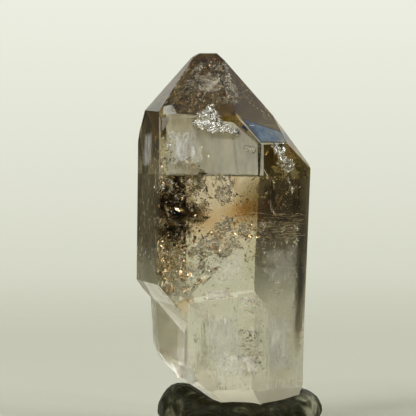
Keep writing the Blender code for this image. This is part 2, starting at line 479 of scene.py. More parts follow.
def add_flake(bm, rng, place, turn, radius, stretch=1.0, thickness=0.02 * MM, bend=0.12, rings=2, sides=9):
    """A thin lens with a ragged rim, slightly bent, with a wavy skin."""
    radius = min(radius, 0.85 * room(place) / max(1.0, stretch))
    ragged = [rng.uniform(0.62, 1.15) for side in range(sides)]
    bow = Vector((rng.uniform(-bend, bend), rng.uniform(-bend, bend)))
    shift = Vector((rng.uniform(-9.0, 9.0), rng.uniform(-9.0, 9.0), rng.uniform(-9.0, 9.0)))
    def spot(out, side, lift):
        angle = math.tau * side / sides
        reach = out * ragged[side % sides]
        u = reach * math.cos(angle) * stretch
        v = reach * math.sin(angle)
        wave = bow.x * u * u + bow.y * v * v + 0.10 * noise.noise(Vector((u, v, 0.0)) * 1.7 + shift)
        local = Vector((u * radius, v * radius, wave * radius + lift))
        return bm.verts.new(place + turn @ local)
    rim = [spot(1.0, side, 0.0) for side in range(sides)]
    for sign in (1.0, -1.0):
        outer = rim
        for ring in range(rings - 1, 0, -1):
            out = ring / rings
            lift = sign * 0.5 * thickness * math.sqrt(1.0 - out * out)
            inner = [spot(out, side, lift) for side in range(sides)]
            for side in range(sides):
                after = (side + 1) % sides
                bm.faces.new((outer[side], outer[after], inner[after], inner[side]))
            outer = inner
        top = spot(0.0, 0, sign * 0.5 * thickness)
        for side in range(sides):
            bm.faces.new((outer[side], outer[(side + 1) % sides], top))


def add_lump(bm, rng, place, turn, radii, rough=0.25, fineness=2, pitch=1.6):
    """A closed lump: a ball stretched by its radii, with an uneven skin."""
    shift = Vector((rng.uniform(-9.0, 9.0), rng.uniform(-9.0, 9.0), rng.uniform(-9.0, 9.0)))
    made = bmesh.ops.create_icosphere(bm, subdivisions=fineness, radius=1.0)
    for vert in made["verts"]:
        swell = 1.0 + rough * noise.noise(vert.co * pitch + shift)
        swell += 0.5 * rough * noise.noise(vert.co * pitch * 2.7 + shift)
        local = Vector((vert.co.x * radii[0], vert.co.y * radii[1], vert.co.z * radii[2])) * swell
        vert.co = place + turn @ local


def add_sheet(bm, rng, corners, depth, steps=(22, 22), thickness=0.03 * MM, wave=0.4, pitch=2.2):
    """A thin, wavy, closed sheet inside the crystal. It spans four corners given in the photo's
    columns and rows, at a depth in millimetres behind the near face."""
    shift = Vector((rng.uniform(-9.0, 9.0), rng.uniform(-9.0, 9.0), rng.uniform(-9.0, 9.0)))
    places = []
    for corner in corners:
        entry, bent, chord = sight(*corner)
        places.append(entry + bent * min(depth * MM, chord * 0.9))
    first, second, third, fourth = places
    normal = (second - first).cross(fourth - first).normalized()
    spread = bm.loops.layers.uv.verify()
    near = {}
    far = {}
    share = {}
    for i in range(steps[0] + 1):
        for j in range(steps[1] + 1):
            u = i / steps[0]
            v = j / steps[1]
            spot = first.lerp(second, u).lerp(fourth.lerp(third, u), v)
            spot = spot + normal * wave * MM * noise.noise(Vector((u * pitch, v * pitch, 0.0)) + shift)
            near[i, j] = bm.verts.new(spot)
            far[i, j] = bm.verts.new(spot + normal * thickness)
            share[near[i, j]] = (u, v)
            share[far[i, j]] = (u, v)
    faces = []
    for i in range(steps[0]):
        for j in range(steps[1]):
            faces.append((near[i, j], near[i + 1, j], near[i + 1, j + 1], near[i, j + 1]))
            faces.append((far[i, j], far[i, j + 1], far[i + 1, j + 1], far[i + 1, j]))
    last_i, last_j = steps
    rim = [(i, 0) for i in range(last_i)] + [(last_i, j) for j in range(last_j)]
    rim += [(i, last_j) for i in range(last_i, 0, -1)] + [(0, j) for j in range(last_j, 0, -1)]
    for here, after in zip(rim, rim[1:] + rim[:1]):
        faces.append((near[here], near[after], far[after], far[here]))
    for corners_of_face in faces:
        face = bm.faces.new(corners_of_face)
        for loop in face.loops:
            loop[spread].uv = share[loop.vert]


def add_film(bm, rng, place, turn, radii, crumple=0.35, ribs=0, rings=5, sides=20, thickness=0.03 * MM, pitch=1.5):
    """A thin closed film, crumpled, with a ragged outline, and with ribs that run outwards."""
    limit = min(1.0, 0.8 * room(place) / max(radii))
    across, along = radii[0] * limit, radii[1] * limit
    shift = Vector((rng.uniform(-9.0, 9.0), rng.uniform(-9.0, 9.0), rng.uniform(-9.0, 9.0)))

    def spot(out, side, lift):
        angle = math.tau * side / sides
        rim = 1.0 + 0.55 * noise.noise(Vector((math.cos(angle), math.sin(angle), 0.0)) * 1.8 + shift)
        u = out * rim * math.cos(angle)
        v = out * rim * math.sin(angle)
        wave = crumple * noise.noise(Vector((u, v, 0.0)) * pitch + shift)
        wave += 0.45 * crumple * noise.noise(Vector((u, v, 0.0)) * pitch * 2.7 + shift)
        wave += 0.09 * out * math.sin(ribs * angle)
        return bm.verts.new(place + turn @ Vector((u * across, v * along, wave * min(across, along) + lift)))

    rim_verts = [spot(1.0, side, 0.0) for side in range(sides)]
    for sign in (1.0, -1.0):
        outer = rim_verts
        for ring in range(rings - 1, 0, -1):
            out = ring / rings
            lift = sign * 0.5 * thickness * math.sqrt(1.0 - out * out)
            inner = [spot(out, side, lift) for side in range(sides)]
            for side in range(sides):
                after = (side + 1) % sides
                bm.faces.new((outer[side], outer[after], inner[after], inner[side]))
            outer = inner
        top = spot(0.0, 0, sign * 0.5 * thickness)
        for side in range(sides):
            bm.faces.new((outer[side], outer[(side + 1) % sides], top))


def films(name, material, seed, groups):
    """Crumpled films as one piece of hollow cracks. A group: outline, count, depths, radius
    range in millimetres, stretch, and the direction they mostly face, with how far they stray."""
    rng = random.Random(seed)
    bm = bmesh.new()
    for group in groups:
        for point in scatter(rng, group["outline"], group["count"], group["depths"]):
            aim = Vector(group["facing"]).normalized() + random_direction(rng) * group["stray"]
            turn = facing(aim) @ Matrix.Rotation(rng.uniform(0.0, math.tau), 3, "Z")
            low, high = group["radius"]
            radius = low * (high / low) ** (rng.random() ** 1.4) * MM
            long = rng.uniform(1.0, group.get("stretch", 1.8))
            add_film(bm, rng, point, turn, (radius, radius * long), group.get("crumple", 0.4), group.get("ribs", 0))
    return add_piece(name, bm, material, smooth=False, hollow=True)


def fused(name, bm, voxel):
    """The overlapping closed shapes of a mesh, fused into one skin."""
    mesh = bpy.data.meshes.new(name)
    bm.to_mesh(mesh)
    bm.free()
    obj = bpy.data.objects.new(name, mesh)
    bpy.context.scene.collection.objects.link(obj)
    skin = obj.modifiers.new("skin", "REMESH")
    skin.mode = "VOXEL"
    skin.voxel_size = voxel
    bpy.context.view_layer.update()
    result = bmesh.new()
    result.from_object(obj, bpy.context.evaluated_depsgraph_get())
    bpy.data.objects.remove(obj, do_unlink=True)
    return result


def bubble_string(name, material, seed, beads, voxel=0.13 * MM, rough=0.45):
    """A silvery hollow: overlapping uneven lumps fused into one space. A bead: column, row,
    depth, its radii in millimetres across, through and up, and its tilt in degrees."""
    rng = random.Random(seed)
    bm = bmesh.new()
    for column, row, depth, radii, tilt in beads:
        point = inside(column, row, depth)
        turn = Matrix.Rotation(math.radians(tilt), 3, "Y")
        add_lump(bm, rng, point, turn, [radius * MM for radius in radii], rough=rough, fineness=4, pitch=2.3)
    return add_piece(name, fused(name, bm, voxel), material, hollow=True)


def veil_material(name, colour, thick, thin, scale, stretch=(1.0, 1.0, 1.0), rim=2.8):
    """A cloudy veil: see-through, with milky patches that catch the light and fade out at its
    rim. Thick and thin are how much light passes through its patches and between them."""
    material = clear_material(name, None, ior=1.0)
    n = Nodes.__new__(Nodes)
    n.tree = material.node_tree
    shader = n.tree.nodes["Principled BSDF"]
    place = n.add("ShaderNodeTexCoord")
    grow = n.add("ShaderNodeMapping")
    grow.inputs["Scale"].default_value = stretch
    n.link(place.outputs["Object"], grow.inputs["Vector"])
    patch = n.add("ShaderNodeTexNoise")
    patch.inputs["Scale"].default_value = scale
    patch.inputs["Detail"].default_value = 6.0
    patch.inputs["Roughness"].default_value = 0.62
    n.link(grow.outputs[0], patch.inputs["Vector"])
    blocked = n.ramp(patch.outputs["Fac"], [(0.36, 1.0 - thin), (0.66, 1.0 - thick)])
    split = n.add("ShaderNodeSeparateXYZ")
    n.link(place.outputs["UV"], split.inputs[0])
    u, v = split.outputs[0], split.outputs[1]
    across = n.math("MINIMUM", u, n.math("SUBTRACT", 1.0, u))
    along = n.math("MINIMUM", v, n.math("SUBTRACT", 1.0, v))
    edge = n.math("MULTIPLY", n.math("MINIMUM", across, along), rim)
    blob = n.add("ShaderNodeTexNoise")
    blob.inputs["Scale"].default_value = 0.55 * scale
    blob.inputs["Detail"].default_value = 3.0
    n.link(place.outputs["Object"], blob.inputs["Vector"])
    hole = n.math("MULTIPLY_ADD", blob.outputs["Fac"], 0.9, -0.9)
    kept = n.math("MULTIPLY", n.math("ADD", n.math("MINIMUM", edge, 1.0), hole), 2.6, clamp=True)
    strength = n.math("MULTIPLY", blocked, kept)
    n.link(n.math("SUBTRACT", 1.0, strength), shader.inputs["Transmission Weight"])
    n.link(n.mix(strength, (1.0, 1.0, 1.0), colour), shader.inputs["Base Color"])
    return material


def veil(name, seed, corners, depth, colour, thick, thin, scale, stretch=(1.0, 1.0, 1.0), rim=2.8, wave=0.4):
    rng = random.Random(seed)
    bm = bmesh.new()
    add_sheet(bm, rng, corners, depth, wave=wave)
    return add_piece(name, bm, veil_material(name, colour, thick, thin, scale, stretch, rim))


def flake_cloud(name, material, seed, groups, hollow=True):
    """Many flakes as one piece. A group: outline, count, depths, radius range, stretch, and
    optionally the direction that the flakes mostly face, with how far they stray from it."""
    rng = random.Random(seed)
    bm = bmesh.new()
    for group in groups:
        for point in scatter(rng, group["outline"], group["count"], group["depths"]):
            if "angle" in group:
                angle = math.radians(rng.gauss(group["angle"], group["spread"]))
                along = Vector((math.cos(angle), 0.0, math.sin(angle)))
                aim = (Vector((0.0, -1.0, 0.0)) + random_direction(rng) * group["stray"]).normalized()
                side = aim.cross(along).normalized()
                turn = Matrix((along, side, along.cross(side))).transposed()
            elif "facing" in group:
                aim = Vector(group["facing"]).normalized() + random_direction(rng) * group["stray"]
                turn = facing(aim) @ Matrix.Rotation(rng.uniform(0.0, math.tau), 3, "Z")
            else:
                turn = any_turn(rng)
            low, high = group["radius"]
            radius = low * (high / low) ** (rng.random() ** 1.6) * MM
            stretch = rng.uniform(group.get("least", 1.0), group.get("stretch", 1.8))
            add_flake(bm, rng, point, turn, radius, stretch=stretch)
    return add_piece(name, bm, material, smooth=False, hollow=hollow)


def set_material(obj, material):
    obj.data.materials.clear()
    obj.data.materials.append(material)


def scene_settings():
    scene = bpy.context.scene
    scene.view_settings.view_transform = "Standard"
    scene.cycles.sample_clamp_indirect = 6.0
    scene.cycles.max_bounces = 56
    scene.cycles.transmission_bounces = 56
    scene.cycles.glossy_bounces = 24
    scene.cycles.transparent_max_bounces = 32
    scene.cycles.caustics_reflective = True
    scene.cycles.caustics_refractive = True


TIP_CAP = [(186, 112), (193, 84), (199, 62), (214, 58), (226, 66), (234, 84), (238, 104), (222, 100), (206, 112)]
LEFT_DARK = [(159, 150), (178, 150), (205, 170), (214, 196), (206, 224), (190, 246), (160, 262)]
DIAGONAL = [(160, 250), (196, 240), (228, 216), (250, 214), (256, 232), (228, 256), (205, 286), (176, 296), (161, 284)]
TIP_LEFT = [(167, 108), (182, 84), (196, 66), (202, 62), (198, 84), (200, 110), (180, 112)]
LEFT_TOP = [(160, 158), (176, 152), (204, 170), (212, 192), (200, 232), (184, 236), (160, 246)]
WAVY = [(210, 176), (232, 176), (242, 204), (220, 206)]
FRONT_STEM = [(189, 304), (255, 292), (252, 392), (199, 388)]
RIGHT_STEM = [(262, 292), (299, 300), (297, 386), (258, 394)]
SIDE_STEM = [(155, 302), (184, 326), (183, 358), (160, 350)]


# Dark soot in the head: column, row, depth, radii in millimetres and tilt in degrees.
SOOT = [
    (172, 232, 0.12, (2.3, 1.0, 1.4), -25),
    (166, 203, 0.12, (1.2, 1.0, 2.4), 0),
    (176, 214, 0.14, (1.3, 0.9, 1.2), 20),
    (192, 214, 0.06, (1.7, 1.0, 1.2), 35),
    (187, 203, 0.06, (1.2, 0.9, 0.8), -40),
    (181, 186, 0.06, (1.2, 1.0, 0.9), -50),
    (174, 177, 0.06, (1.3, 0.9, 0.6), 20),
    (199, 180, 0.06, (0.5, 0.8, 1.6), 15),
    (189, 192, 0.06, (1.5, 0.8, 0.5), -35),
    (190, 177, 0.06, (1.0, 0.8, 0.5), 10),
    (187, 228, 0.06, (0.9, 0.8, 0.7), 30),
    (182, 217, 0.05, (1.5, 1.0, 1.1), 10),
    (171, 229, 0.05, (1.6, 1.0, 1.0), -30),
    (201, 212, 0.05, (1.1, 0.8, 1.2), 40),
    (271, 194, 0.10, (1.1, 0.8, 1.5), -10),
    (296, 206, 0.12, (1.2, 1.0, 1.8), 0),
    (282, 219, 0.10, (2.8, 0.7, 0.4), 3),
    (268, 233, 0.10, (1.2, 0.7, 0.9), 0),
    (189, 88, 0.10, (0.5, 0.4, 0.6), 10),
    (226, 92, 0.10, (0.9, 0.4, 0.45), -15),
    (206, 62, 0.20, (1.6, 0.6, 0.5), 0),
    (216, 73, 0.10, (0.9, 0.4, 0.8), 25),
    (184, 98, 0.10, (0.9, 0.5, 0.5), 40),
    (200, 98, 0.10, (0.6, 0.5, 0.6), 0),
    (178, 107, 0.10, (1.0, 0.5, 0.4), 10),
]


def add_zone(bm, rng, centre, radii, turn, hold, rough=0.15):
    """A smoothly uneven closed shape round a point, held inside the crystal's faces."""
    shift = Vector((rng.uniform(-9.0, 9.0), rng.uniform(-9.0, 9.0), rng.uniform(-9.0, 9.0)))
    made = bmesh.ops.create_icosphere(bm, subdivisions=4, radius=1.0)
    for vert in made["verts"]:
        swell = 1.0 + rough * noise.noise(vert.co * 1.3 + shift)
        local = Vector((vert.co.x * radii[0], vert.co.y * radii[1], vert.co.z * radii[2])) * MM * swell
        reach = turn @ local
        way = reach.normalized()
        wall = SKIN.ray_cast(centre, way)[3]
        vert.co = centre + way * min(reach.length, wall * hold)


HOLDS = iter([0.965 - 0.0020 * number for number in range(160)])


def smoke(name, seed, column, row, depth, radii, tilt, absorb, shells=3, smallest=0.45, rough=0.15):
    """A smoky cloud that fades outwards: nested shapes, each adding its share of the loss."""
    rng = random.Random(seed)
    centre = inside(column, row, depth)
    turn = Matrix.Rotation(math.radians(tilt), 3, "Y")
    share = tuple(value / shells for value in absorb)
    for shell in range(shells):
        size = 1.0 - (1.0 - smallest) * shell / max(1, shells - 1)
        bm = bmesh.new()
        add_zone(bm, rng, centre, [radius * size for radius in radii], turn, next(HOLDS), rough)
        label = "%s_%d" % (name, shell + 1)
        add_piece(label, bm, clear_material(label, share, ior=1.0))


def add_needle(bm, start, end, radius, sides=4):
    """A thin closed needle, tapered to both ends."""
    way = (end - start).normalized()
    turn = facing(way)
    middle = (start + end) * 0.5
    ring = []
    for side in range(sides):
        angle = math.tau * side / sides
        ring.append(bm.verts.new(middle + turn @ Vector((math.cos(angle), math.sin(angle), 0.0)) * radius))
    tips = bm.verts.new(start), bm.verts.new(end)
    for side in range(sides):
        bm.faces.new((ring[side], ring[(side + 1) % sides], tips[1]))
        bm.faces.new((ring[(side + 1) % sides], ring[side], tips[0]))


def needles(name, material, seed, groups):
    """Fine fibres as one piece. A group: outline, count, depths, direction in the photo
    (degrees from level), its spread, and the length range in millimetres."""
    rng = random.Random(seed)
    bm = bmesh.new()
    for group in groups:
        for point in scatter(rng, group["outline"], group["count"], group["depths"]):
            angle = math.radians(rng.gauss(group["angle"], group["spread"]))
            way = Vector((math.cos(angle), rng.uniform(-0.3, 0.3), math.sin(angle))).normalized()
            half = 0.5 * rng.uniform(*group["length"]) * MM
            half = min(half, 0.8 * SKIN.ray_cast(point, way)[3], 0.8 * SKIN.ray_cast(point, -way)[3])
            add_needle(bm, point - way * half, point + way * half, rng.uniform(*group["radius"]) * MM)
    return add_piece(name, bm, material, smooth=False)


def specks(name, material, seed, groups):
    """Small dark grains as one piece. A group: outline, count, depths, radius range."""
    rng = random.Random(seed)
    bm = bmesh.new()
    for group in groups:
        for point in scatter(rng, group["outline"], group["count"], group["depths"]):
            low, high = group["radius"]
            radius = low * (high / low) ** (rng.random() ** 1.8) * MM
            radius = min(radius, 0.6 * room(point))
            add_lump(bm, rng, point, any_turn(rng), (radius, radius * 0.7, radius * 0.5), rough=0.5, fineness=1)
    return add_piece(name, bm, material, smooth=False)


def solid_material(name, dark, light, roughness, scale=900.0, metallic=0.0):
    material = bpy.data.materials.new(name)
    material.use_nodes = True
    n = Nodes(material.node_tree)
    shader = n.add("ShaderNodeBsdfPrincipled")
    place = n.add("ShaderNodeTexCoord")
    patch = n.add("ShaderNodeTexNoise")
    patch.inputs["Scale"].default_value = scale
    n.link(place.outputs["Object"], patch.inputs["Vector"])
    n.link(n.ramp(patch.outputs["Fac"], [(0.35, dark), (0.65, light)]), shader.inputs["Base Color"])
    shader.inputs["Roughness"].default_value = roughness
    shader.inputs["Metallic"].default_value = metallic
    out = n.add("ShaderNodeOutputMaterial")
    n.link(shader.outputs[0], out.inputs["Surface"])
    return material


def blue_film_material():
    """An iridescent film in a crack: blue patches over pale grey."""
    material = veil_material("blue_film", (0.5, 0.5, 0.5), 0.15, 0.55, 700.0, rim=9.0)
    n = Nodes.__new__(Nodes)
    n.tree = material.node_tree
    shader = n.tree.nodes["Principled BSDF"]
    place = n.add("ShaderNodeTexCoord")
    patch = n.add("ShaderNodeTexNoise")
    patch.inputs["Scale"].default_value = 620.0
    patch.inputs["Detail"].default_value = 7.0
    patch.inputs["Distortion"].default_value = 0.4
    n.link(place.outputs["Object"], patch.inputs["Vector"])
    split = n.add("ShaderNodeSeparateXYZ")
    n.link(place.outputs["UV"], split.inputs[0])
    shade = n.math("MULTIPLY_ADD", split.outputs[0], 0.34, n.math("MULTIPLY", patch.outputs["Fac"], 0.75))
    n.link(n.ramp(shade, [
        (0.28, (0.03, 0.05, 0.17)),
        (0.42, (0.08, 0.15, 0.30)),
        (0.55, (0.15, 0.24, 0.34)),
        (0.68, (0.27, 0.33, 0.34)),
        (0.80, (0.42, 0.43, 0.37)),
    ]), shader.inputs["Base Color"])
    return material


def make_inclusions():
    air_gap = clear_material("air_gap", None)
    # Smoky colour, in clouds that fade outwards.
    smoke("smoke_head", 31, 225, 190, 0.5, (12.0, 11.0, 13.5), 0, (0.5, 8.0, 15.0), shells=3, smallest=0.75)
    smoke("smoke_tip", 32, 201, 102, 0.45, (11.8, 9.0, 5.8), 0, (98.0, 138.0, 250.0), shells=4, smallest=0.45)
    smoke("smoke_cap", 39, 210, 74, 0.5, (7.0, 6.0, 5.5), 0, (75.0, 100.0, 160.0), shells=3, smallest=0.4)
    smoke("smoke_amber", 33, 246, 210, 0.30, (4.0, 3.0, 2.5), -18, (130.0, 235.0, 420.0), shells=4, smallest=0.3, rough=0.4)
    smoke("smoke_rust", 37, 208, 222, 0.22, (5.4, 2.5, 3.0), -24, (18.0, 72.0, 140.0), shells=3, rough=0.5)
    smoke("smoke_amber_top", 47, 236, 182, 0.25, (0.6, 1.0, 2.2), 0, (120.0, 200.0, 340.0), shells=2, rough=0.4)
    smoke("smoke_shoulder", 38, 284, 155, 0.35, (4.2, 4.0, 3.4), 0, (38.0, 58.0, 95.0), shells=3)
    smoke("smoke_facet", 53, 282, 157, 0.2, (4.1, 1.0, 2.9), 0, (160.0, 225.0, 390.0), shells=2, smallest=0.6)
    smoke("smoke_slope", 49, 284, 133, 0.35, (2.4, 2.5, 1.7), -40, (110.0, 150.0, 225.0), shells=2)
    smoke("smoke_edge_high", 50, 299, 178, 0.3, (2.0, 2.2, 3.4), 0, (170.0, 195.0, 270.0), shells=2)
    smoke("smoke_edge_mid", 51, 300, 284, 0.4, (1.1, 1.9, 4.6), 0, (480.0, 540.0, 670.0), shells=2, rough=0.4)
    smoke("smoke_right_stem", 52, 281, 350, 0.4, (4.6, 4.0, 6.5), 0, (27.0, 28.0, 44.0), shells=2)
    smoke("smoke_left", 34, 169, 212, 0.28, (3.2, 4.0, 6.8), 0, (120.0, 140.0, 180.0), shells=3)
    smoke("smoke_right", 35, 284, 202, 0.3, (5.4, 4.5, 5.8), 0, (160.0, 186.0, 255.0), shells=3)
    smoke("smoke_low_right", 41, 286, 262, 0.3, (4.4, 3.6, 5.0), 0, (25.0, 30.0, 55.0), shells=2)
    smoke("smoke_edge_top", 45, 301, 246, 0.4, (1.2, 2.2, 8.0), 1, (420.0, 470.0, 580.0), shells=2, rough=0.4)
    smoke("smoke_strip", 48, 147, 240, 0.5, (1.8, 3.0, 7.0), 0, (50.0, 52.0, 60.0), shells=2)
    smoke("smoke_under", 43, 160, 297, 0.3, (3.6, 3.0, 2.0), 40, (45.0, 50.0, 75.0), shells=2)
    smoke("smoke_low_left", 44, 175, 258, 0.15, (2.8, 2.0, 4.4), 0, (105.0, 145.0, 240.0), shells=2, rough=0.5)
    smoke("smoke_side", 42, 168, 328, 0.5, (3.2, 4.0, 6.0), 0, (44.0, 48.0, 68.0), shells=2)
    smoke("smoke_edge", 36, 299, 308, 0.4, (1.1, 1.9, 8.6), 2, (700.0, 790.0, 980.0), shells=3, rough=0.4)
    for number, (column, row, depth, radii, tilt) in enumerate(SOOT):
        smoke("soot_%d" % (number + 1), 60 + number, column, row, depth, radii, tilt, (1050.0, 1180.0, 1500.0), 2, 0.5, 1.3)
    # Cracks: crumpled films and small flakes.
    films("crumpled_films", air_gap, 71, [
        dict(outline=WAVY, count=26, depths=(0.06, 0.22), radius=(0.25, 0.75), facing=(1.0, 0.5, 0.1), stray=0.5,
             stretch=2.8, crumple=0.8),
        dict(outline=LEFT_TOP, count=70, depths=(0.03, 0.3), radius=(0.2, 0.9), facing=(0.7, 0.5, 0.6), stray=0.9,
             stretch=2.2, crumple=0.6),
        dict(outline=DIAGONAL, count=100, depths=(0.03, 0.25), radius=(0.25, 1.2), facing=(-0.6, 0.5, 0.8), stray=0.8,
             stretch=2.4, crumple=0.6),
        dict(outline=[(262, 176), (300, 176), (298, 296), (262, 292)], count=44, depths=(0.03, 0.35), radius=(0.2, 0.7),
             facing=(0.5, 0.5, 0.8), stray=0.9, stretch=2.4, crumple=0.7),
    ])
    films("tip_films", air_gap, 72, [
        dict(outline=TIP_CAP, count=110, depths=(0.05, 0.45), radius=(0.12, 0.8), facing=(0.0, 0.4, 1.0), stray=1.1,
             stretch=2.0, crumple=0.8),
        dict(outline=TIP_LEFT, count=110, depths=(0.03, 0.4), radius=(0.1, 0.6), facing=(0.0, 0.4, 1.0), stray=1.1,
             stretch=2.0, crumple=0.8),
        dict(outline=[(241, 106), (236, 72), (262, 100), (286, 130)], count=36, depths=(0.03, 0.4),
             radius=(0.1, 0.5), facing=(0.0, 0.4, 1.0), stray=1.1, crumple=0.8),
    ])
    films("ribbed_fan", air_gap, 73, [
        dict(outline=[(188, 208), (200, 208), (200, 220), (188, 220)], count=4, depths=(0.05, 0.12), radius=(1.5, 2.2),
             facing=(0.5, 0.7, 0.5), stray=0.35, stretch=1.2, crumple=0.2, ribs=17),
        dict(outline=[(184, 176), (204, 176), (204, 196), (184, 196)], count=4, depths=(0.05, 0.14), radius=(0.9, 1.6),
             facing=(-0.5, 0.7, 0.5), stray=0.4, stretch=1.3, crumple=0.3, ribs=13),
        dict(outline=[(240, 228), (256, 222), (254, 250), (244, 254)], count=3, depths=(0.05, 0.12), radius=(0.7, 1.2),
             facing=(-0.5, 0.5, 0.8), stray=0.3, stretch=2.2, crumple=0.3, ribs=9),
    ])
    flake_cloud("fracture_flakes", air_gap, 11, [
        dict(outline=TIP_CAP, count=420, depths=(0.05, 0.45), radius=(0.04, 0.32)),
        dict(outline=LEFT_DARK, count=700, depths=(0.03, 0.4), radius=(0.04, 0.4)),
        dict(outline=[(160, 130), (190, 130), (196, 168), (160, 168)], count=300, depths=(0.03, 0.3), radius=(0.03, 0.3)),
    ])
    flake_cloud("diagonal_flakes", air_gap, 12, [
        dict(outline=DIAGONAL, count=440, depths=(0.03, 0.35), radius=(0.04, 0.4)),
        dict(outline=[(262, 230), (298, 226), (296, 292), (262, 290)], count=420, depths=(0.03, 0.4), radius=(0.03, 0.28)),
        dict(outline=[(139, 165), (157, 165), (157, 278), (139, 268)], count=320, depths=(0.03, 0.6), radius=(0.04, 0.3), stretch=3.0),
    ])
    flake_cloud("stem_fog", air_gap, 13, [
        dict(outline=FRONT_STEM, count=700, depths=(0.03, 0.5), radius=(0.03, 0.16)),
        dict(outline=[(232, 330), (262, 328), (264, 376), (236, 376)], count=260, depths=(0.03, 0.25), radius=(0.04, 0.4)),
        dict(outline=[(200, 345), (258, 345), (256, 376), (205, 376)], count=500, depths=(0.03, 0.3), radius=(0.03, 0.22)),
        dict(outline=RIGHT_STEM, count=400, depths=(0.03, 0.5), radius=(0.03, 0.16)),
        dict(outline=SIDE_STEM, count=160, depths=(0.05, 0.6), radius=(0.03, 0.2)),
        dict(outline=[(200, 250), (256, 236), (255, 288), (200, 294)], count=350, depths=(0.03, 0.4), radius=(0.03, 0.22)),
    ])
    silver = solid_material("silver_hollow", (0.86, 0.86, 0.84), (0.97, 0.97, 0.95), 0.10, metallic=1.0)
    specks("bright_specks", silver, 43, [
        dict(outline=TIP_CAP, count=260, depths=(0.02, 0.3), radius=(0.03, 0.14)),
        dict(outline=TIP_LEFT, count=170, depths=(0.02, 0.3), radius=(0.03, 0.14)),
        dict(outline=[(240, 354), (255, 354), (252, 374), (247, 374)], count=120, depths=(0.01, 0.06), radius=(0.03, 0.14)),
        dict(outline=[(160, 126), (192, 126), (196, 168), (160, 168)], count=150, depths=(0.02, 0.2), radius=(0.03, 0.16)),
        dict(outline=[(139, 125), (157, 120), (157, 200), (139, 200)], count=120, depths=(0.02, 0.4), radius=(0.03, 0.14)),
        dict(outline=LEFT_DARK, count=160, depths=(0.02, 0.2), radius=(0.03, 0.15)),
        dict(outline=[(262, 176), (300, 176), (298, 292), (262, 292)], count=110, depths=(0.02, 0.2), radius=(0.02, 0.10)),
        dict(outline=[(232, 330), (262, 328), (264, 376), (236, 376)], count=60, depths=(0.02, 0.15), radius=(0.02, 0.10)),
    ])
    gold = solid_material("golden_fibres", (0.60, 0.42, 0.20), (0.95, 0.77, 0.48), 0.32, metallic=0.3)
    glints = solid_material("golden_glints", (0.78, 0.54, 0.28), (0.97, 0.82, 0.58), 0.16, metallic=1.0)
    flake_cloud("golden_glints", glints, 44, [
        dict(outline=DIAGONAL, count=300, depths=(0.02, 0.16), radius=(0.06, 0.50), facing=(-0.4, -0.6, 0.6), stray=0.7, stretch=2.5),
        dict(outline=LEFT_DARK, count=190, depths=(0.02, 0.14), radius=(0.05, 0.42), facing=(-0.4, -0.6, 0.6), stray=0.7, stretch=2.5),
        dict(outline=WAVY, count=16, depths=(0.05, 0.2), radius=(0.06, 0.24), facing=(-0.4, -0.6, 0.6), stray=0.7),
        dict(outline=TIP_CAP, count=60, depths=(0.03, 0.3), radius=(0.05, 0.22), facing=(-0.2, -0.5, 0.8), stray=0.7),
        dict(outline=[(262, 176), (300, 176), (298, 250), (262, 250)], count=40, depths=(0.02, 0.2), radius=(0.04, 0.16),
             facing=(0.4, -0.6, 0.6), stray=0.7),
    ], hollow=False)
    grains = solid_material("dark_grains", (0.012, 0.009, 0.005), (0.05, 0.035, 0.018), 0.6)
    cream = solid_material("cream_glints", (0.70, 0.58, 0.40), (0.98, 0.93, 0.80), 0.30, metallic=0.4)
    streaks = dict(depths=(0.02, 0.16), stray=0.35, least=2.5, stretch=6.0)
    # Dark flakes: dark streaks in the crystal, and partly painted dark reflection, standing in for cracks that mirror a
    # dark room.
    flake_cloud("dark_streaks", grains, 45, [
        dict(streaks, outline=WAVY, count=70, radius=(0.03, 0.11), angle=100.0, spread=28.0),
        dict(streaks, outline=DIAGONAL, count=150, radius=(0.03, 0.12), angle=48.0, spread=35.0),
        dict(streaks, outline=LEFT_TOP, count=130, radius=(0.03, 0.14), angle=130.0, spread=40.0),
        dict(streaks, outline=TIP_CAP, count=130, radius=(0.03, 0.14), angle=60.0, spread=60.0),
        dict(streaks, outline=TIP_LEFT, count=110, radius=(0.03, 0.12), angle=50.0, spread=30.0),
        dict(streaks, outline=[(232, 330), (262, 328), (264, 376), (236, 376)], count=60, radius=(0.02, 0.09), angle=95.0,
             spread=30.0),
        dict(streaks, outline=FRONT_STEM, count=150, radius=(0.02, 0.06), angle=90.0, spread=12.0),
        dict(streaks, outline=RIGHT_STEM, count=110, radius=(0.02, 0.06), angle=90.0, spread=12.0),
        dict(streaks, outline=SIDE_STEM, count=60, radius=(0.012, 0.035), angle=90.0, spread=20.0),
        dict(streaks, outline=[(262, 176), (300, 176), (298, 250), (262, 250)], count=90, radius=(0.03, 0.13), angle=50.0,
             spread=45.0),
    ], hollow=False)
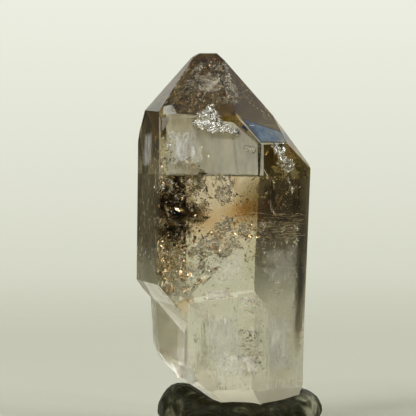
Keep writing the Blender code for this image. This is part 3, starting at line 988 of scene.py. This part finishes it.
    # Cream flakes: pale specks in the crystal, and partly painted highlight, standing in for the bright glints on its
    # cracks.
    flake_cloud("cream_streaks", cream, 46, [
        dict(streaks, outline=WAVY, count=46, radius=(0.025, 0.09), angle=100.0, spread=35.0),
        dict(streaks, outline=DIAGONAL, count=200, radius=(0.03, 0.15), angle=45.0, spread=40.0),
        dict(streaks, outline=LEFT_TOP, count=60, radius=(0.03, 0.10), angle=130.0, spread=45.0),
        dict(streaks, outline=[(196, 74), (232, 74), (234, 98), (192, 100)], count=70, radius=(0.03, 0.13), angle=30.0, spread=60.0),
        dict(streaks, outline=TIP_CAP, count=60, radius=(0.02, 0.08), angle=60.0, spread=60.0),
        dict(streaks, outline=TIP_LEFT, count=60, radius=(0.02, 0.08), angle=50.0, spread=40.0),
        dict(streaks, outline=[(245, 100), (236, 72), (262, 100), (286, 130)], count=50, radius=(0.02, 0.07), angle=-48.0, spread=14.0),
        dict(streaks, outline=[(152, 108), (192, 62), (196, 62), (164, 104)], count=60, radius=(0.02, 0.08), angle=50.0, spread=10.0),
        # Along the ledge the cream streaks are painted highlight: the sparkle that the upward ledge facets catch from
        # above.
        dict(streaks, outline=[(202, 292), (232, 290), (230, 299), (204, 300)], count=70, radius=(0.04, 0.16), angle=4.0, spread=25.0),
        dict(streaks, outline=[(239, 298), (256, 297), (260, 306), (242, 305)], count=45, radius=(0.04, 0.16), angle=-20.0, spread=30.0),
        dict(streaks, outline=[(240, 354), (255, 354), (255, 374), (246, 374)], count=60, radius=(0.03, 0.10), angle=110.0, spread=40.0),
        dict(streaks, outline=[(168, 132), (190, 130), (196, 168), (162, 168)], count=46, radius=(0.03, 0.11), angle=90.0,
             spread=40.0),
        dict(streaks, outline=[(139, 130), (156, 124), (157, 276), (138, 268)], count=90, radius=(0.02, 0.06), angle=90.0,
             spread=6.0),
        dict(streaks, outline=[(262, 176), (300, 176), (298, 290), (262, 290)], count=60, radius=(0.02, 0.07), angle=60.0,
             spread=50.0),
        dict(streaks, outline=[(232, 330), (262, 328), (264, 376), (236, 376)], count=30, radius=(0.02, 0.08), angle=95.0,
             spread=40.0),
    ], hollow=False)
    specks("dark_grains", grains, 41, [
        dict(outline=TIP_CAP, count=240, depths=(0.03, 0.4), radius=(0.03, 0.20)),
        dict(outline=[(184, 86), (193, 82), (194, 92), (186, 93)], count=14, depths=(0.04, 0.12), radius=(0.12, 0.36)),
        dict(outline=[(219, 92), (232, 88), (232, 95), (221, 96)], count=14, depths=(0.04, 0.12), radius=(0.10, 0.32)),
        dict(outline=LEFT_DARK, count=560, depths=(0.02, 0.3), radius=(0.03, 0.26)),
        dict(outline=[(160, 196), (186, 194), (184, 244), (160, 248)], count=260, depths=(0.02, 0.25), radius=(0.05, 0.34)),
        dict(outline=DIAGONAL, count=260, depths=(0.02, 0.3), radius=(0.02, 0.16)),
        dict(outline=WAVY, count=40, depths=(0.05, 0.2), radius=(0.02, 0.10)),
        dict(outline=[(226, 214), (238, 208), (240, 216), (230, 222)], count=14, depths=(0.05, 0.15), radius=(0.04, 0.16)),
        dict(outline=[(232, 330), (262, 328), (270, 368), (236, 372)], count=120, depths=(0.03, 0.2), radius=(0.02, 0.12)),
        dict(outline=[(241, 340), (246, 340), (246, 352), (241, 352)], count=16, depths=(0.03, 0.08), radius=(0.06, 0.2)),
        dict(outline=FRONT_STEM, count=170, depths=(0.01, 0.2), radius=(0.02, 0.09)),
        dict(outline=RIGHT_STEM, count=60, depths=(0.02, 0.4), radius=(0.015, 0.06)),
        dict(outline=[(262, 176), (300, 176), (298, 214), (262, 214)], count=160, depths=(0.02, 0.25), radius=(0.03, 0.20)),
    ])
    needles("golden_fibres", gold, 51, [
        dict(outline=[(262, 213), (303, 213), (303, 238), (262, 240)], count=100, depths=(0.01, 0.10), angle=0.0, spread=6.0,
             length=(1.5, 6.0), radius=(0.012, 0.045)),
        dict(outline=[(268, 176), (300, 176), (296, 214), (270, 214)], count=90, depths=(0.01, 0.15), angle=60.0, spread=40.0,
             length=(0.6, 2.5), radius=(0.006, 0.016)),
        dict(outline=[(139, 140), (156, 130), (157, 276), (138, 268)], count=220, depths=(0.02, 0.4), angle=90.0, spread=4.0,
             length=(0.8, 5.0), radius=(0.006, 0.02)),
        dict(outline=[(286, 240), (298, 236), (298, 270), (288, 280)], count=14, depths=(0.02, 0.10), angle=70.0, spread=12.0,
             length=(1.0, 4.0), radius=(0.006, 0.012)),
    ])
    bubble_string("silver_bubbles", silver, 3, [
        (210, 109, 0.06, (0.7, 0.5, 1.2), 28),
        (204, 117, 0.07, (1.3, 0.6, 0.9), 40),
        (213, 117, 0.08, (1.0, 0.6, 1.3), -12),
        (199, 125, 0.07, (1.2, 0.5, 0.55), 12),
        (208, 127, 0.08, (1.5, 0.6, 0.6), -4),
        (218, 129, 0.08, (1.4, 0.6, 0.6), -12),
        (227, 131, 0.09, (1.3, 0.6, 0.6), -8),
        (235, 133, 0.09, (0.9, 0.5, 0.55), -20),
    ], rough=0.9)
    bubble_string("silver_pocket", silver, 5, [
        (273, 139, 0.08, (0.45, 0.4, 0.8), 20),
        (276, 147, 0.09, (0.8, 0.6, 1.0), -20),
        (281, 155, 0.09, (0.9, 0.6, 1.1), -30),
        (285, 163, 0.09, (1.2, 0.65, 0.9), -10),
        (291, 166, 0.09, (0.7, 0.5, 0.8), 15),
        (287, 171, 0.09, (0.6, 0.5, 0.55), -45),
    ], rough=0.9)
    bubble_string("ring_bubble", air_gap, 8, [
        (247, 148, 0.05, (0.6, 0.3, 0.5), 0),
        (252, 150, 0.05, (0.65, 0.3, 0.55), 10),
    ], rough=0.5)
    bubble_string("white_spots", silver, 9, [
        (168.5, 147, 0.05, (0.35, 0.3, 0.75), 15),
        (266, 173, 0.04, (0.12, 0.1, 0.6), -35),
        (179, 310, 0.10, (0.4, 0.3, 0.35), 0),
        (209, 156, 0.06, (0.28, 0.2, 0.28), 0),
        (202, 147, 0.06, (0.4, 0.2, 0.18), 0),
        (297, 228, 0.04, (0.2, 0.15, 0.45), -25),
        (187, 338, 0.10, (0.3, 0.2, 0.7), -15),
    ], voxel=0.07 * MM, rough=0.7)
    # Veils.
    haze = (0.73, 0.69, 0.45)
    veil("shoulder_veil", 21, [(159, 116.5), (238, 117.5), (238, 175.3), (159, 175.3)], 2.6, haze, 0.36, 0.66, 330.0,
         (1.6, 1.0, 0.5), rim=600.0, wave=0.0)
    veil("shoulder_veil_right", 21, [(238, 117.5), (257.6, 143.5), (258.2, 175.3), (238, 175.3)], 2.6, haze, 0.36, 0.66, 330.0,
         (1.6, 1.0, 0.5), rim=600.0, wave=0.0)
    veil("small_facet", 38, [(162, 106), (172, 104), (178, 114), (162, 115)], 0.6, (0.70, 0.70, 0.58), 0.50, 0.80, 900.0,
         rim=12.0, wave=0.05)
    veil("brown_corner", 39, [(161.5, 117), (171, 117), (163, 131), (161.5, 131)], 0.6, (0.18, 0.12, 0.06), 0.12, 0.30, 900.0,
         rim=12.0, wave=0.05)
    veil("shoulder_milk", 22, [(161, 124), (200, 122), (214, 170), (160, 172)], 1.2, (1.0, 0.99, 0.95), 0.28, 0.97, 800.0,
         (1.4, 1.0, 0.5))
    veil("strip_streak", 23, [(143.5, 124), (154, 122), (154, 176), (139, 176)], 0.8, (1.0, 0.99, 0.95), 0.58, 0.99, 1500.0,
         (1.5, 1.5, 0.25))
    veil("tip_milk", 24, [(196, 70), (228, 68), (234, 98), (190, 98)], 1.6, (0.92, 0.86, 0.66), 0.45, 0.99, 900.0)
    milk = (1.0, 0.965, 0.81)
    shade = (0.20, 0.19, 0.13)
    veil("stem_shade", 34, [(194, 304), (255, 298), (254, 384), (204, 384)], 2.4, shade, 0.70, 0.98, 600.0, (1.4, 1.4, 0.35))
    veil("stem_side_shade", 35, [(261, 302), (297, 306), (295, 384), (260, 390)], 2.0, shade, 0.62, 0.96, 600.0, (1.4, 1.4, 0.35))
    veil("foot_milk", 25, [(203, 348), (256, 345), (254, 388), (212, 388)], 0.7, milk, 0.35, 0.99, 900.0, wave=0.25)
    veil("white_patch", 26, [(238, 354), (257, 350), (256, 378), (248, 376)], 0.25, milk, 0.05, 0.80, 1500.0, rim=2.6, wave=0.1)
    veil("stem_milk", 27, [(194, 310), (254, 300), (254, 350), (196, 356)], 1.6, milk, 0.55, 0.99, 700.0, (1.0, 1.0, 0.4))
    veil("stem_side_milk", 28, [(262, 302), (296, 306), (294, 380), (262, 386)], 1.4, milk, 0.55, 0.99, 700.0, (1.0, 1.0, 0.4))
    veil("middle_milk", 29, [(200, 250), (256, 238), (255, 290), (200, 292)], 2.0, milk, 0.55, 0.96, 600.0)
    veil("right_milk", 30, [(261, 236), (303, 234), (301, 298), (261, 294)], 1.8, (0.56, 0.52, 0.34), 0.74, 0.96, 600.0)
    # The two ledge veils are milky patches and painted highlight: their white stands in for the light that the upward
    # ledge facets catch from above.
    veil("ledge_milk_and_highlight_1", 31, [(198, 288), (234, 287), (232, 301), (202, 302)], 0.8, milk, 0.30, 0.97, 900.0, (0.5, 1.0, 1.5))
    veil("ledge_milk_and_highlight_2", 32, [(237, 296), (256, 292), (262, 308), (240, 308)], 0.8, milk, 0.30, 0.97, 900.0, (0.5, 1.0, 1.5))
    rng = random.Random(33)
    bm = bmesh.new()
    add_sheet(bm, rng, [(240, 117.5), (286, 135), (288, 143), (261, 143)], 0.5, wave=0.1)
    add_piece("blue_film", bm, blue_film_material())
    flake_cloud("blue_spot", solid_material("deep_blue", (0.01, 0.02, 0.08), (0.05, 0.09, 0.24), 0.3), 48, [
        dict(outline=[(249, 123), (255, 125), (255, 128), (249, 126)], count=4, depths=(0.045, 0.055), radius=(0.35, 0.42), angle=-20.0,
             spread=8.0, stray=0.1, least=2.0, stretch=2.4),
    ], hollow=False)
    # Painted highlight: a few small cream flakes give the white glint on the blue patch.
    flake_cloud("blue_spot_highlight", cream, 49, [
        dict(outline=[(250, 124), (254, 125), (254, 127), (250, 126)], count=2, depths=(0.015, 0.02), radius=(0.10, 0.14), angle=-20.0,
             spread=8.0, stray=0.1, least=2.5, stretch=3.0),
    ], hollow=False)


make_camera()
make_world()
make_floor()
area_light("key", (-0.62, -0.66, 0.72), (0.0, 0.0, 0.035), (0.40, 0.40), 10.0)
area_light("fill", (0.74, -0.38, 0.52), (0.0, 0.0, 0.035), (0.30, 0.30), 4.2)
for number, place in enumerate([(-0.35, -0.80, 0.62), (0.55, -0.70, 0.66), (-0.80, 0.10, 0.60), (0.50, 0.55, 0.80)]):
    area_light("spark_%d" % number, place, (0.0, 0.0, 0.035), (0.09, 0.09), 1.9)
set_material(crystal, crystal_material())
set_material(putty, putty_material())
shade_smooth(putty, math.radians(42.0))
worn = crystal.modifiers.new("worn_edges", "BEVEL")
worn.width = 0.06 * MM
worn.segments = 2
worn.limit_method = "ANGLE"
worn.angle_limit = math.radians(12.0)

make_inclusions()
scene_settings()
